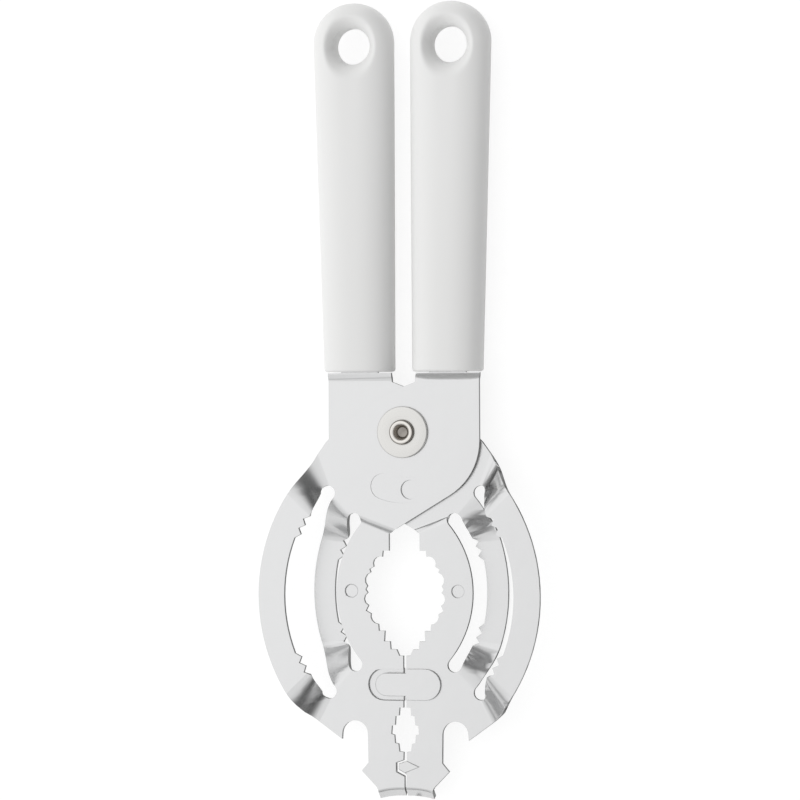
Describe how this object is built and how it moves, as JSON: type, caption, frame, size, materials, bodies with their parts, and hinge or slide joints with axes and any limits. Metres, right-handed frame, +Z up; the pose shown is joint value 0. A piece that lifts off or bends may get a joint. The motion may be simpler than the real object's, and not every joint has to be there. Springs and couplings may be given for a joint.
{
  "type": "jar and bottle opener",
  "caption": "Plier-type jar and bottle opener: two stamped steel jaw plates with stepped, toothed bands cross on a hollow rivet, and each tang carries a moulded grip.",
  "frame": {"origin": "Bottom centre of the whole tool as it lies on its back, on the surface that it rests on.", "axes": "+Y runs from the jaw tips to the grips, +Z is up, away from the surface and normal to the plates, and +X is the side of the right grip."},
  "size_m": [0.091, 0.2506, 0.0171],
  "materials": {
    "plate_steel": "satin stainless sheet, lightly tumbled, 1.5 mm",
    "grip_plastic": "white moulded polypropylene, satin",
    "rivet_nickel": "nickel-plated semi-tubular rivet, rolled end",
    "washer_steel": "turned stainless washer"
  },
  "bodies": {
    "rear": {"rear_jaw_plate": "plate_steel", "left_grip": "grip_plastic", "pivot_rivet": "rivet_nickel", "rivet_washer": "washer_steel"},
    "front": {"front_jaw_plate": "plate_steel", "right_grip": "grip_plastic"}
  },
  "joints": [
    {"name": "jaw_pivot", "type": "hinge", "parent": "rear", "child": "front", "pos_m": [0, -0.01015, 0.00855], "axis": [0, 0, -1], "range_deg": [0, 28]}
  ]
}
